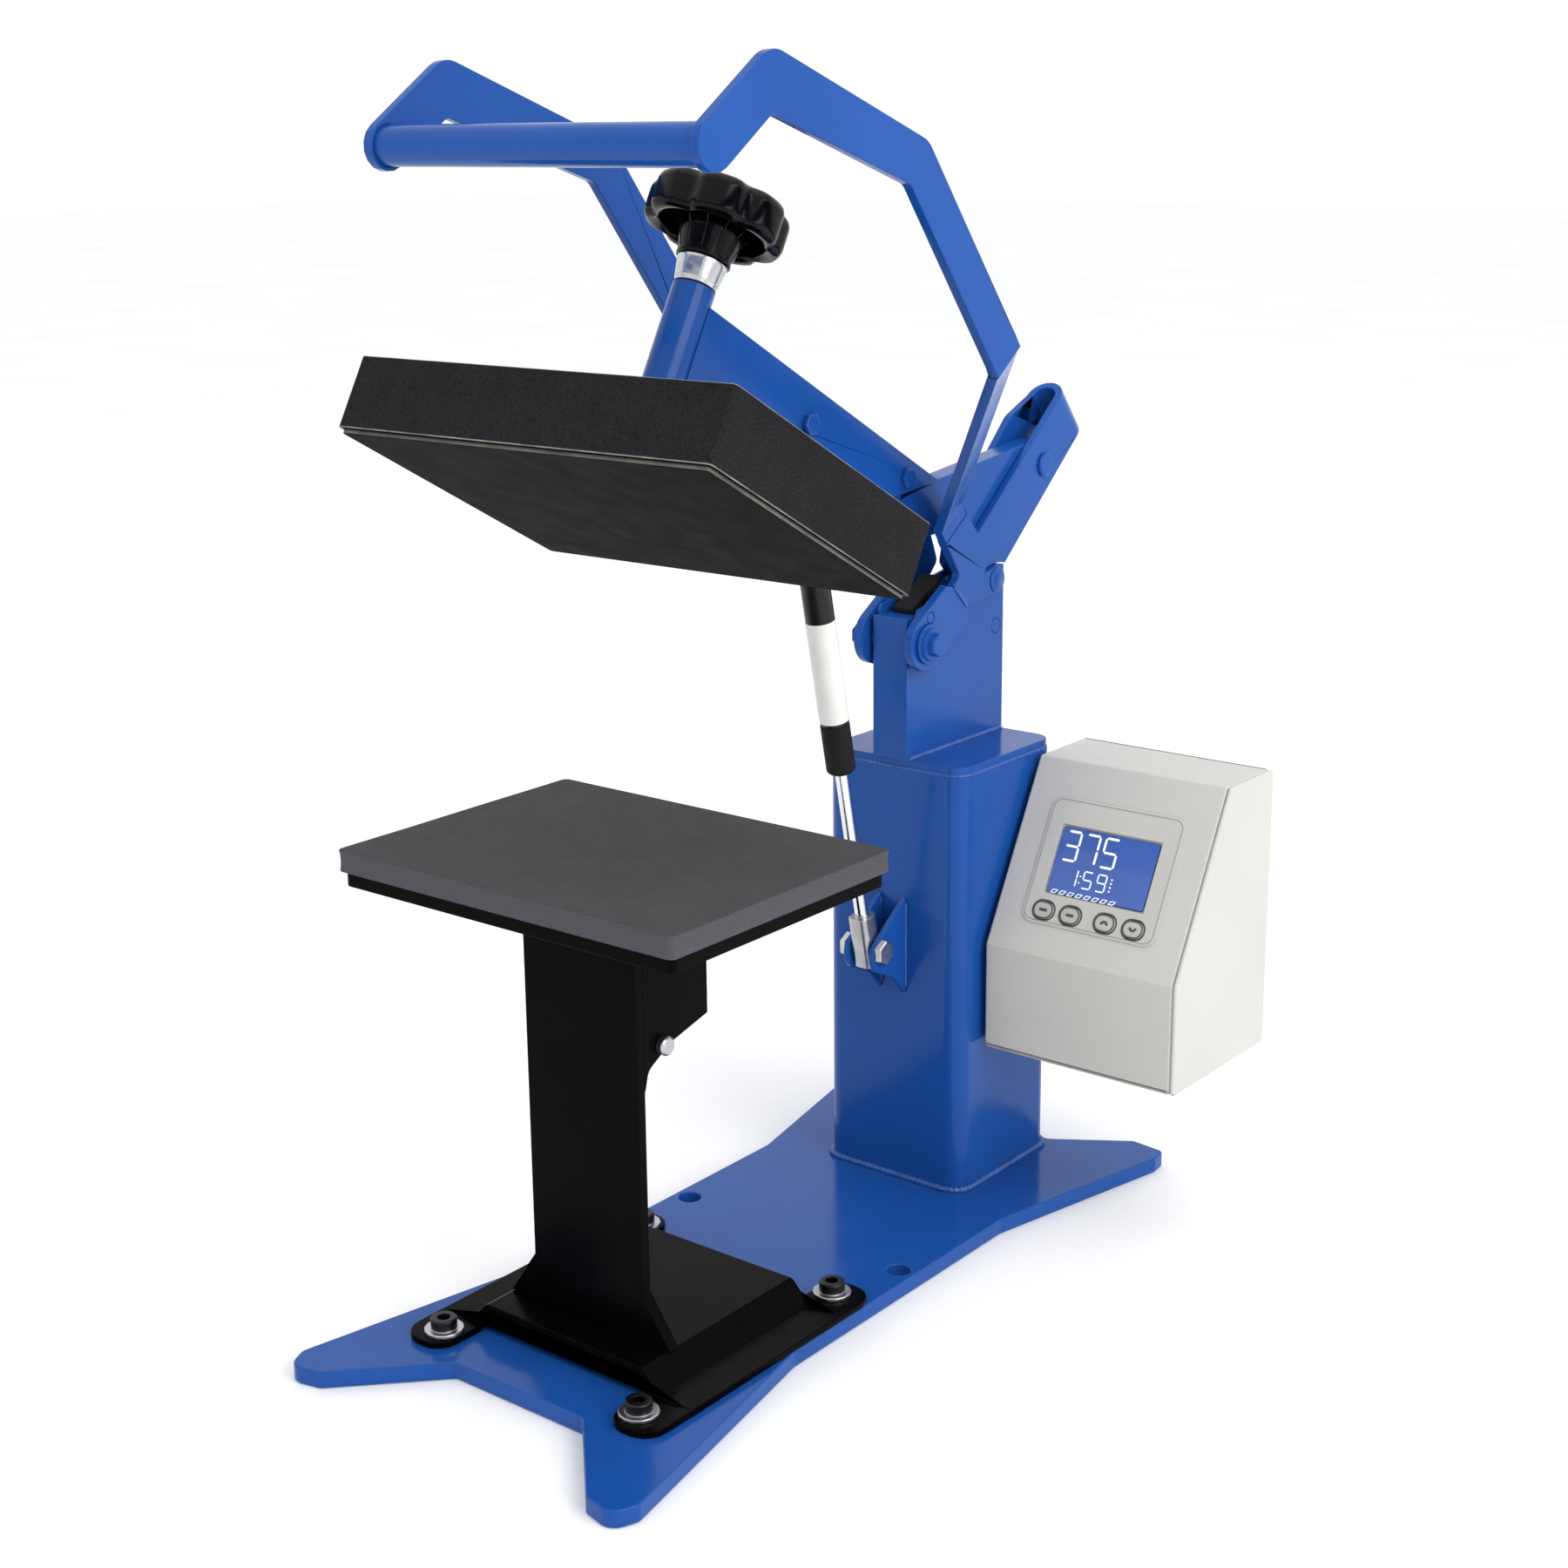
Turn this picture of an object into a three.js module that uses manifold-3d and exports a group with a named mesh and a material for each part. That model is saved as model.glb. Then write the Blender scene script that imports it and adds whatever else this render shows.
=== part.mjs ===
// Clamshell label heat press, standing on its base plate, shown open.
// Millimetres. X = 0 is the plane of symmetry, Y runs from the front to the back, Z is up.
// The origin is on the underside of the base plate, straight below the middle of the pad.
import * as THREE from 'three';
import { mergeVertices } from 'three/addons/utils/BufferGeometryUtils.js';
import Module from 'manifold-3d';

const wasm = await Module();
wasm.setup();

// ---------------------------------------------------------------- driving dimensions
const DEG = Math.PI / 180;
const SEG = 20;                       // facets round a middling cylinder
const TILT = 28.9;                    // degrees the arm is lifted when open
const ARM_PIVOT = [297.5, 303];       // Y, Z of the arm's hinge pin
const PAD_TOP = 248.5;
const CLOSED_GAP = 0.6;               // platen above the pad when closed
const PAD = { w: 203.2, d: 152.4, t: 10.9 };
const BASE_T = 8.5;
const COLUMN = { w: 88.9, wall: 4, y0: 216.6, top: 244.7, r: 10.6 };
const POST = { half: 10.7, wall: 4.1, y0: 214.5, y1: 304.5, top: 320, knuckle: 33.5 };
const PLATEN = { half: 108.8, d: 153.6, h: 36.6 };
const ARM = { half: 10, wall: 3, top: 102.4, low: 64 };
const LEVER_PIVOT = [222, 307];       // Y, Z of the handle's pivot on the post
const LEVER_X = [13.6, 18.4];         // the two levers' faces beside the post
const LINK_ARM = [294, 329];          // Y, Z of the link's pins on the tail plate and on the levers
const LINK_LEVER = [225, 320];
const GRIP = [-32.4, 559.6];          // Y, Z of the hand grip
const GRIP_R = 9;
const SIDE_X = [90.3, 95.3];          // the handle's side bars
const SPRING_LOW = [194, 145.5];      // Y, Z of the gas spring's pins
const SPRING_PIN_ARM = [94.4, 84.7];  // upper pin, in the arm's own Y and Z
const CASE = { x0: 48, x1: 162.3, yTop: 285.3, yLow: 234.4, back: 330.5, top: 239.5, kink: 147, low: 89.1 };

// the arm's own frame: origin under the middle of the platen, Y along the arm, Z square to it
function armOrigin() {
  const c = Math.cos(TILT * DEG);
  const s = Math.sin(TILT * DEG);
  const y = -ARM_PIVOT[0];
  const z = PAD_TOP + CLOSED_GAP - ARM_PIVOT[1];
  return [ARM_PIVOT[0] + y * c + z * s, ARM_PIVOT[1] - y * s + z * c];
}
const ARM_AT = armOrigin();

// ---------------------------------------------------------------- solid helpers
function solid(geometry) {
  const g = geometry.clone();
  g.deleteAttribute('normal');
  g.deleteAttribute('uv');
  const merged = mergeVertices(g, 1e-4);
  const position = new Float32Array(merged.attributes.position.array);
  const index = new Uint32Array(merged.index.array);
  if (signedVolume(position, index) < 0) {
    for (let i = 0; i < index.length; i += 3) {
      [index[i], index[i + 1]] = [index[i + 1], index[i]];
    }
  }
  return new wasm.Manifold(new wasm.Mesh({ numProp: 3, vertProperties: position, triVerts: index }));
}

function signedVolume(p, index) {
  const a = new THREE.Vector3();
  const b = new THREE.Vector3();
  const c = new THREE.Vector3();
  let v = 0;
  for (let i = 0; i < index.length; i += 3) {
    a.fromArray(p, index[i] * 3);
    b.fromArray(p, index[i + 1] * 3);
    c.fromArray(p, index[i + 2] * 3);
    v += a.dot(b.cross(c));
  }
  return v;
}

// a closed outline; a point is [a, b] or [a, b, fillet radius]
function outline(points, steps = 4) {
  const out = [];
  const n = points.length;
  for (let i = 0; i < n; i++) {
    const [x, y, r] = points[i];
    if (!r) {
      out.push(new THREE.Vector2(x, y));
      continue;
    }
    const here = new THREE.Vector2(x, y);
    const before = new THREE.Vector2(...points[(i + n - 1) % n].slice(0, 2)).sub(here).normalize();
    const after = new THREE.Vector2(...points[(i + 1) % n].slice(0, 2)).sub(here).normalize();
    const half = Math.acos(THREE.MathUtils.clamp(before.dot(after), -1, 1)) / 2;
    const middle = before.clone().add(after).normalize();
    const centre = here.clone().addScaledVector(middle, r / Math.sin(half));
    const from = here.clone().addScaledVector(before, r / Math.tan(half)).sub(centre);
    const turn = (Math.PI - 2 * half) * Math.sign(from.cross(middle.clone().negate()));
    for (let k = 0; k <= steps; k++) {
      out.push(from.clone().rotateAround(new THREE.Vector2(), (turn * k) / steps).add(centre));
    }
  }
  return out;
}

function prism(points, depth, steps) {
  const shape = new THREE.Shape(outline(points, steps));
  return new THREE.ExtrudeGeometry(shape, { depth, bevelEnabled: false, curveSegments: 8 });
}

function basis(geometry, x, y, z, at = [0, 0, 0]) {
  const m = new THREE.Matrix4().makeBasis(new THREE.Vector3(...x), new THREE.Vector3(...y), new THREE.Vector3(...z));
  m.setPosition(...at);
  return solid(geometry.applyMatrix4(m));
}

// outlines in [Y, Z] pushed along X, in [X, Y] pushed up Z, and in [X, Z] pushed along Y
function alongX(points, x0, x1, steps) {
  return basis(prism(points, x1 - x0, steps), [0, 1, 0], [0, 0, 1], [1, 0, 0], [x0, 0, 0]);
}

function alongZ(points, z0, z1, steps) {
  return basis(prism(points, z1 - z0, steps), [1, 0, 0], [0, 1, 0], [0, 0, 1], [0, 0, z0]);
}

function alongY(points, y0, y1, steps) {
  return basis(prism(points, y1 - y0, steps), [1, 0, 0], [0, 0, 1], [0, -1, 0], [0, y1, 0]);
}

function box(x0, x1, y0, y1, z0, z1) {
  return alongZ([[x0, y0], [x1, y0], [x1, y1], [x0, y1]], z0, z1);
}

function roundedBox(w, d, z0, z1, r, x = 0, y = 0) {
  const a = w / 2;
  const b = d / 2;
  return alongZ([[x - a, y - b, r], [x + a, y - b, r], [x + a, y + b, r], [x - a, y + b, r]], z0, z1);
}

// a turned piece: profile is [radius, distance] from the axis point along the axis
function turned(at, axis, profile, seg = SEG) {
  const g = new THREE.LatheGeometry(profile.map(([r, h]) => new THREE.Vector2(r, h)), seg);
  const q = new THREE.Quaternion().setFromUnitVectors(
    new THREE.Vector3(0, 1, 0), new THREE.Vector3(...axis).normalize());
  g.applyQuaternion(q);
  g.translate(...at);
  return solid(g);
}

function rod(from, to, r, seg = SEG) {
  const a = new THREE.Vector3(...from);
  const b = new THREE.Vector3(...to);
  const length = a.distanceTo(b);
  const axis = b.clone().sub(a);
  return turned(from, axis.toArray(), [[0, 0], [r, 0], [r, length], [0, length]], seg);
}

// a pin across the machine, along X, at [Y, Z]
function cross(at, r, x0, x1, seg = SEG) {
  return rod([x0, ...at], [x1, ...at], r, seg);
}

function hexHead(at, axis, acrossFlats, height, seg = 6) {
  const r = acrossFlats / Math.sqrt(3);
  return turned(at, axis, [[0, 0], [r, 0], [r, height * 0.8], [r * 0.88, height], [0, height]], seg);
}

function onArm(piece) {
  return piece.rotate([-TILT, 0, 0]).translate([0, ...ARM_AT]);
}

const SPRING_TOP = [
  ARM_AT[0] + SPRING_PIN_ARM[0] * Math.cos(TILT * DEG) + SPRING_PIN_ARM[1] * Math.sin(TILT * DEG),
  ARM_AT[1] - SPRING_PIN_ARM[0] * Math.sin(TILT * DEG) + SPRING_PIN_ARM[1] * Math.cos(TILT * DEG),
];
const SPRING_LEAN = Math.atan2(SPRING_LOW[0] - SPRING_TOP[0], SPRING_TOP[1] - SPRING_LOW[1]);
const SPRING_LENGTH = Math.hypot(SPRING_LOW[0] - SPRING_TOP[0], SPRING_TOP[1] - SPRING_LOW[1]);

function onSpring(piece) {
  return piece.rotate([SPRING_LEAN / DEG, 0, 0]).translate([0, ...SPRING_LOW]);
}

// the controller's sloping face: X across, Y up the slope from the top edge, Z straight out
const SLOPE = Math.atan2(CASE.top - CASE.kink, CASE.yTop - CASE.yLow) / DEG;
function onSlope(piece) {
  return piece.rotate([SLOPE, 0, 0]).translate([0, CASE.yTop, CASE.top]);
}

// ---------------------------------------------------------------- the assembly
const group = new THREE.Group();
group.name = 'label_heat_press';

const PAINTS = {
  blue: ['#2350b4', 0.3, 0.1],
  black: ['#141414', 0.55, 0.1],
  cover: ['#26262a', 0.7, 0.2],
  coating: ['#1d1b1a', 0.5, 0.3],
  rubber: ['#101010', 0.85, 0],
  pad: ['#565658', 0.8, 0],
  steel: ['#b9bcc0', 0.3, 1],
  chrome: ['#dfe2e5', 0.08, 1],
  zinc: ['#a9adb3', 0.4, 1],
  plastic: ['#e9e5da', 0.6, 0],
  overlay: ['#e2ddd0', 0.5, 0],
  screen: ['#3d56a8', 0.2, 0],
  button: ['#8d9095', 0.6, 0],
  knob: ['#0c0c0d', 0.15, 0],
  board: ['#1d5a33', 0.6, 0],
  insulation: ['#cfc7b4', 0.9, 0],
};

function add(name, piece, paint) {
  const mesh = piece.getMesh();
  const g = new THREE.BufferGeometry();
  g.setAttribute('position', new THREE.BufferAttribute(new Float32Array(mesh.vertProperties), 3));
  g.setIndex(new THREE.BufferAttribute(new Uint32Array(mesh.triVerts), 1));
  const flat = g.toNonIndexed();
  flat.computeVertexNormals();
  const [color, roughness, metalness] = PAINTS[paint];
  const node = new THREE.Mesh(flat, new THREE.MeshStandardMaterial({ color, roughness, metalness }));
  node.name = name;
  group.add(node);
}

// ---------------------------------------------------------------- base and column
function basePlate() {
  const half = [
    [40, -74, 3], [84, -119, 4], [101, -123, 8], [106.5, -110, 6], [78.5, 31, 20], [78.5, 206, 20],
    [104.5, 322, 4], [103.5, 333, 4], [83, 335.5, 4], [43, 309, 4],
  ];
  const mirror = half.map(([x, y, r]) => [-x, y, r]).reverse();
  let plate = alongZ([...half, ...mirror], 0, BASE_T, 4);
  for (const x of [-69, 69]) {
    plate = plate.subtract(rod([x, 127.5, -1], [x, 127.5, BASE_T + 1], 6, 24));
  }
  add('base_plate', plate, 'blue');
}

function column() {
  const c = COLUMN;
  const y = c.y0 + c.w / 2;
  const z0 = BASE_T + 0.05;
  let tube = roundedBox(c.w, c.w, z0, c.top - 5.1, c.r, 0, y);
  tube = tube.subtract(roundedBox(c.w - 2 * c.wall, c.w - 2 * c.wall, z0 - 1, c.top, c.r - c.wall, 0, y));
  add('column_tube', tube, 'blue');
  add('column_cap', roundedBox(c.w - 1.2, c.w - 1.2, c.top - 5, c.top, c.r - 0.6, 0, y), 'blue');
}

function post() {
  const p = POST;
  const [py, pz] = ARM_PIVOT;
  const z0 = COLUMN.top + 0.1;
  const hump = [];
  const a0 = Math.PI - Math.asin((p.top - pz) / p.knuckle);
  const a1 = Math.acos((p.y1 - py) / p.knuckle);
  for (let k = 0; k <= 10; k++) {
    const a = a0 + ((a1 - a0) * k) / 10;
    hump.push([py + p.knuckle * Math.cos(a), pz + p.knuckle * Math.sin(a)]);
  }
  const side = [[p.y0, z0], [p.y0, p.top], ...hump, [p.y1, z0]].reverse();
  const hollow = [
    [219, z0 + 5], [299, z0 + 5], [299, 262], [312, 262], [312, 345], [252, 345], [252, 315.5], [219, 315.5],
  ];
  let body = alongX(side, -p.half, p.half);
  body = body.subtract(alongX(hollow, -p.half + p.wall, p.half - p.wall));
  body = body.subtract(cross(ARM_PIVOT, 4.15, -20, 20));
  body = body.subtract(cross(LEVER_PIVOT, 5.15, -20, 20));
  const reach = Math.hypot(LINK_ARM[0] - py, LINK_ARM[1] - pz);
  const start = Math.atan2(LINK_ARM[1] - pz, LINK_ARM[0] - py);
  const slot = [];
  for (let k = 0; k <= 8; k++) {
    const a = start + (-3 + ((TILT + 6) * k) / 8) * DEG;
    slot.push([py + (reach + 3.6) * Math.cos(a), pz + (reach + 3.6) * Math.sin(a)]);
  }
  for (let k = 8; k >= 0; k--) {
    const a = start + (-3 + ((TILT + 6) * k) / 8) * DEG;
    slot.push([py + (reach - 3.6) * Math.cos(a), pz + (reach - 3.6) * Math.sin(a)]);
  }
  body = body.subtract(alongX(slot, -20, 20));
  for (const a of [start - 3 * DEG, start + (TILT + 3) * DEG]) {
    body = body.subtract(cross([py + reach * Math.cos(a), pz + reach * Math.sin(a)], 3.6, -20, 20));
  }
  add('post', body, 'blue');
  add('arm_hinge_pin', cross(ARM_PIVOT, 4, -p.half, p.half), 'blue');
  const stop = [[226, p.top + 0.1], [251.5, p.top + 0.1], [251.5, 337], [226, 323]];
  add('rubber_stop', alongX(stop, -6, 6), 'rubber');
}

function leverBolt() {
  const ends = (s) => {
    let stack = cross(LEVER_PIVOT, 10.5, s * (LEVER_X[1] + 0.3), s * (LEVER_X[1] + 2.1));
    stack = stack.add(cross(LEVER_PIVOT, 8.5, s * (LEVER_X[1] + 2), s * (LEVER_X[1] + 4)));
    return stack.add(hexHead([s * (LEVER_X[1] + 3.9), ...LEVER_PIVOT], [s, 0, 0], 11, 4.2));
  };
  let bolt = cross(LEVER_PIVOT, 5, -LEVER_X[1] - 3, LEVER_X[1] + 3);
  bolt = bolt.add(ends(1)).add(ends(-1));
  add('lever_bolt', bolt, 'blue');
}

function springBracket() {
  const ear = [[216.4, 170], [200, 158, 6], [185.5, 147, 8], [188, 136, 8], [205, 128, 4], [216.4, 116]];
  for (const [name, x0, x1] of [['left', -9.6, -6.6], ['right', 6.6, 9.6]]) {
    let plate = alongX(ear, x0, x1);
    plate = plate.subtract(cross(SPRING_LOW, 4.15, -20, 20));
    add(`spring_ear_${name}`, plate, 'blue');
  }
  let pin = cross(SPRING_LOW, 4, -12, 12, 20);
  pin = pin.add(hexHead([-9.8, ...SPRING_LOW], [-1, 0, 0], 12, 3.6));
  pin = pin.add(hexHead([9.8, ...SPRING_LOW], [1, 0, 0], 12, 3.6));
  add('spring_lower_pin', pin, 'zinc');
}

// ---------------------------------------------------------------- pedestal and pad
function pedestalFoot() {
  const z = BASE_T + 0.1;
  const hat = [
    [-79, z], [-57, z], [-46.5, 19], [46.5, 19], [57, z], [79, z],
    [79, z + 3.4, 1.5], [60, z + 3.6, 3], [50, 23, 4], [-50, 23, 4], [-60, z + 3.6, 3], [-79, z + 3.4, 1.5],
  ];
  let foot = alongY(hat, -44, 66, 3);
  for (const s of [-1, 1]) {
    const strip = [[s * 52, -50, 2], [s * 52, -73, 11], [s * 79, -73, 12], [s * 79, 95, 12], [s * 52, 95, 11], [s * 52, 72, 2]];
    const cut = alongY([[s * 40, z - 1], [s * 58, z - 1], [s * 47.5, 19], [s * 40, 19]], -44.1, 66.1);
    foot = foot.add(alongZ(strip, z, z + 3.4, 5).subtract(cut));
  }
  const bolts = [[-62, -60.3], [62, -60.3], [62, 81.5], [-62, 81.5]];
  for (const [x, y] of bolts) {
    foot = foot.subtract(rod([x, y, 0], [x, y, 30], 4.2, 20));
  }
  add('pedestal_foot', foot, 'black');
  bolts.forEach(([x, y], i) => {
    const top = z + 3.5;
    let bolt = turned([x, y, top], [0, 0, 1], [
      [0, -3], [3.9, -3], [3.9, 0], [9.6, 0], [9.6, 1.6], [9.2, 1.9], [6.4, 1.9], [6.4, 6.6], [5.8, 7.2], [3.2, 7.2],
      [3.2, 3.6], [0, 3.6],
    ], 14);
    add(`foot_bolt_${i + 1}`, bolt, 'zinc');
  });
}

function pedestal() {
  const top = PAD_TOP - PAD.t - 7.1;
  const plate = [
    [-34.1, top], [-34.1, 47], [-51, 23.1], [51, 23.1], [34.1, 47], [34.1, top],
  ];
  add('pedestal_upright', alongY(plate, -25.7, -19.7), 'black');
  const side = [[-19.5, 144], [-17, 154, 6], [-1, 163], [24.5, 169.5], [24.5, top], [-19.5, top]];
  const inside = [[-25, 130], [21.5, 130], [21.5, top - 3], [-25, top - 3]];
  let receiver = alongX(side, -34.1, 34.1);
  receiver = receiver.subtract(alongX(inside, -31.1, 31.1));
  receiver = receiver.subtract(cross([-8, 164], 3.15, 20, 50, 20));
  add('platen_receiver', receiver, 'black');
  const screw = turned([38.6, -8, 164], [-1, 0, 0], [[0, 0], [3.6, 0], [4.6, 1], [4.6, 4.2], [3, 4.2], [3, 12], [0, 12]], 20);
  add('receiver_clamp_screw', screw, 'zinc');
  add('lower_plate', roundedBox(PAD.w - 4.6, PAD.d - 4.6, top + 0.1, top + 7, 3.5), 'black');
  add('pad', roundedBox(PAD.w, PAD.d, PAD_TOP - PAD.t, PAD_TOP, 3.5), 'pad');
}

// ---------------------------------------------------------------- arm, tail plate and yoke
function armChannel() {
  const a = ARM;
  const side = [[3, a.low], [152, a.low, 8], [181.5, 83.4], [209.5, a.top], [3, a.top]];
  let channel = alongX(side, -a.half, a.half);
  const inner = [[-5, a.low - 5], [230, a.low - 5], [230, a.top - a.wall], [-5, a.top - a.wall]];
  channel = channel.subtract(alongX(inner, -a.half + a.wall, a.half - a.wall));
  channel = channel.subtract(rod([0, 0, 0], [0, 0, 140], 10.2, 36));
  channel = channel.subtract(cross([182.1, 93], 3.15, -20, 20));
  channel = channel.subtract(cross(SPRING_PIN_ARM, 3.65, -20, 20));
  add('arm_channel', onArm(channel), 'blue');
}

function tailPlate() {
  // outline in the world's Y and Z: front leg inside the arm, P0 at the back, lug down to the hinge
  const inArm = ([y, z]) => {
    const c = Math.cos(TILT * DEG);
    const s = Math.sin(TILT * DEG);
    return [ARM_AT[0] + y * c + z * s, ARM_AT[1] - y * s + z * c];
  };
  const points = [
    inArm([116, 70]), inArm([160, 70]), [...inArm([168, 62]), 6], [216, 357.6, 4], [268, 361], [282, 357, 10],
    [283.5, 320, 8], [287, 294.5, 9], [299, 291.5, 9], [309.2, 300, 9], [308.5, 313, 6],
    [303, 341], [318, 357.5, 10], [356, 380, 9], [352.5, 399.5, 9], [343, 398.6],
    [253, 388.4, 2], inArm([187, 82.4]), inArm([187.5, 98.5]), inArm([116, 98.5]),
  ];
  let plate = alongX(points, -6.2, 6.2, 5);
  plate = plate.subtract(cross(ARM_PIVOT, 4.3, -20, 20));
  plate = plate.subtract(cross([343, 385], 5.15, -20, 20));
  plate = plate.subtract(onArm(cross([182.1, 93], 3.15, -20, 20)));
  plate = plate.add(cross(LINK_ARM, 3, -13.2, 13.2, 20));
  add('tail_plate', plate, 'blue');
}

function yoke() {
  const along = [0.775, 0.632];
  const tall = 29.9;
  const end = [377 - along[1] * tall, 397 + along[0] * tall];
  const right = [[277, 354], [273.5, 338.5, 4], [281, 331], [309, 331], [306, 336.5], [377, 397], end];
  const left = [[277, 354], [273.5, 338.5, 4], [281, 331], [309, 331], [306, 336.5], [377, 397], end, [336, 411, 12]];
  const knuckle = cross(ARM_PIVOT, POST.knuckle + 0.8, -20, 20, 56);
  let strap = alongX(right, 6.7, 10.7, 4).add(alongX(left, -10.7, -6.7, 4)).subtract(knuckle);
  const bend = [[10.7, -0.5]];
  for (let k = 0; k <= 16; k++) {
    const a = (Math.PI * k) / 16;
    bend.push([10.7 * Math.cos(a), 10.7 * Math.sin(a)]);
  }
  bend.push([-10.7, -0.5], [-6.7, -0.5]);
  for (let k = 16; k >= 0; k--) {
    const a = (Math.PI * k) / 16;
    bend.push([6.7 * Math.cos(a), 6.7 * Math.sin(a)]);
  }
  bend.push([6.7, -0.5]);
  // bend drawn in [X, along the legs] and pushed across the strap's width
  const across = [0, along[1], -along[0]];
  const curl = basis(prism(bend, tall), [1, 0, 0], [0, ...along], across.map((v) => -v), [0, 377, 397]);
  strap = strap.add(curl);
  strap = strap.subtract(cross([343, 385], 5.15, -20, 20));
  add('yoke_strap', strap, 'blue');
  const pin = turned([-12.9, 343, 385], [1, 0, 0], [
    [0, 0], [5.6, 0], [6.6, 0.8], [6.6, 1.9], [5, 1.9], [5, 23.9], [6.6, 23.9], [6.6, 25], [5.6, 25.8], [0, 25.8],
  ], 18);
  add('yoke_pin', pin, 'blue');
}

function armBolts() {
  let bolt = cross([182.1, 93], 3, -11.5, 11.5, 20);
  bolt = bolt.add(hexHead([10.1, 182.1, 93], [1, 0, 0], 10, 2.6)).add(hexHead([-10.1, 182.1, 93], [-1, 0, 0], 10, 2.6));
  add('arm_bolt', onArm(bolt), 'blue');
  let pin = cross(SPRING_PIN_ARM, 3.5, -11.5, 11.5, 20);
  pin = pin.add(hexHead([10.1, ...SPRING_PIN_ARM], [1, 0, 0], 10, 3.2));
  pin = pin.add(hexHead([-10.1, ...SPRING_PIN_ARM], [-1, 0, 0], 10, 3.2));
  add('spring_upper_pin', onArm(pin), 'blue');
}

function spindleTube() {
  const tube = turned([0, 0, 0], [0, 0, 1], [
    [7.9, 44], [9.8, 44], [10, 44.6], [10, 110], [7.9, 110], [7.9, 44],
  ], 24);
  add('spindle_tube', onArm(tube), 'blue');
}

// ---------------------------------------------------------------- heated platen
function platen() {
  const p = PLATEN;
  const w = p.half * 2;
  let cover = roundedBox(w, p.d, 2.2, p.h, 2.5);
  cover = cover.subtract(roundedBox(w - 3, p.d - 3, 1, p.h - 1.5, 1.2));
  cover = cover.subtract(rod([0, 0, 20], [0, 0, 60], 11.5, 32));
  add('platen_cover', onArm(cover), 'cover');
  let block = roundedBox(w - 4, p.d - 4, 0, 17, 2);
  block = block.add(roundedBox(60, 60, 16, 19, 4));
  block = block.subtract(rod([0, 0, 9], [0, 0, 30], 4.2, 20));
  add('heat_platen', onArm(block), 'coating');
  const loop = [[-80, -48, 14], [80, -48, 14], [80, 48, 14], [-80, 48, 14]];
  const wider = [[-86, -54, 20], [86, -54, 20], [86, 54, 20], [-86, 54, 20]];
  let element = alongZ(wider, 17.2, 22, 6).subtract(alongZ(loop, 17, 23, 6));
  add('heating_element', onArm(element), 'steel');
  let board = roundedBox(w - 12, p.d - 12, 23, 28, 6);
  board = board.subtract(roundedBox(72, 72, 22, 30, 5));
  add('insulation_board', onArm(board), 'insulation');
  add('temperature_sensor', onArm(rod([26.5, -18, 26.5], [26.5, 18, 26.5], 2.5, 12)), 'steel');
  const swivel = turned([0, 0, 0], [0, 0, 1], [
    [0, 19.2], [24, 19.2], [24, 23], [10.4, 26.5], [10.4, 36.4], [7.4, 37.4], [7.4, 60], [0, 60],
  ], 30);
  add('spindle_foot', onArm(swivel), 'steel');
}

function pressureKnob() {
  const screw = turned([0, 0, 0], [0, 0, 1], [[0, 68.5], [6, 68.5], [6, 110.4], [9.7, 110.4], [11.7, 121.6],
    [11.7, 122.6], [0, 122.6]], 22);
  add('knob_collar', onArm(screw), 'chrome');
  const lobes = 7;
  const steps = 84;
  const ring = (grow) => {
    const out = [];
    for (let k = 0; k < steps; k++) {
      const a = (2 * Math.PI * k) / steps;
      const r = 33 - 3.6 * (0.5 - 0.5 * Math.cos(lobes * a)) ** 3 + grow;
      out.push([r * Math.cos(a), r * Math.sin(a)]);
    }
    return out;
  };
  let knob = alongZ(ring(-2.2), 135.5, 155);
  knob = knob.add(alongZ(ring(-0.8), 136.8, 153.5)).add(alongZ(ring(0), 138.6, 151));
  knob = knob.add(turned([0, 0, 0], [0, 0, 1], [[0, 122.8], [12.8, 122.8], [15.5, 136], [15.5, 150], [0, 150]], 24));
  knob = knob.add(turned([0, 0, 0], [0, 0, 1], [[0, 150], [22, 150], [19, 157.2], [12, 158.6], [0, 159]], 20));
  const dish = turned([0, 0, 0], [0, 0, 1], [
    [15.9, 130], [25, 130], [25, 137], [24, 147], [16.6, 147], [15.9, 130],
  ], 40);
  add('pressure_knob', onArm(knob.subtract(dish)), 'knob');
}

// ---------------------------------------------------------------- handle and its links

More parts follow.
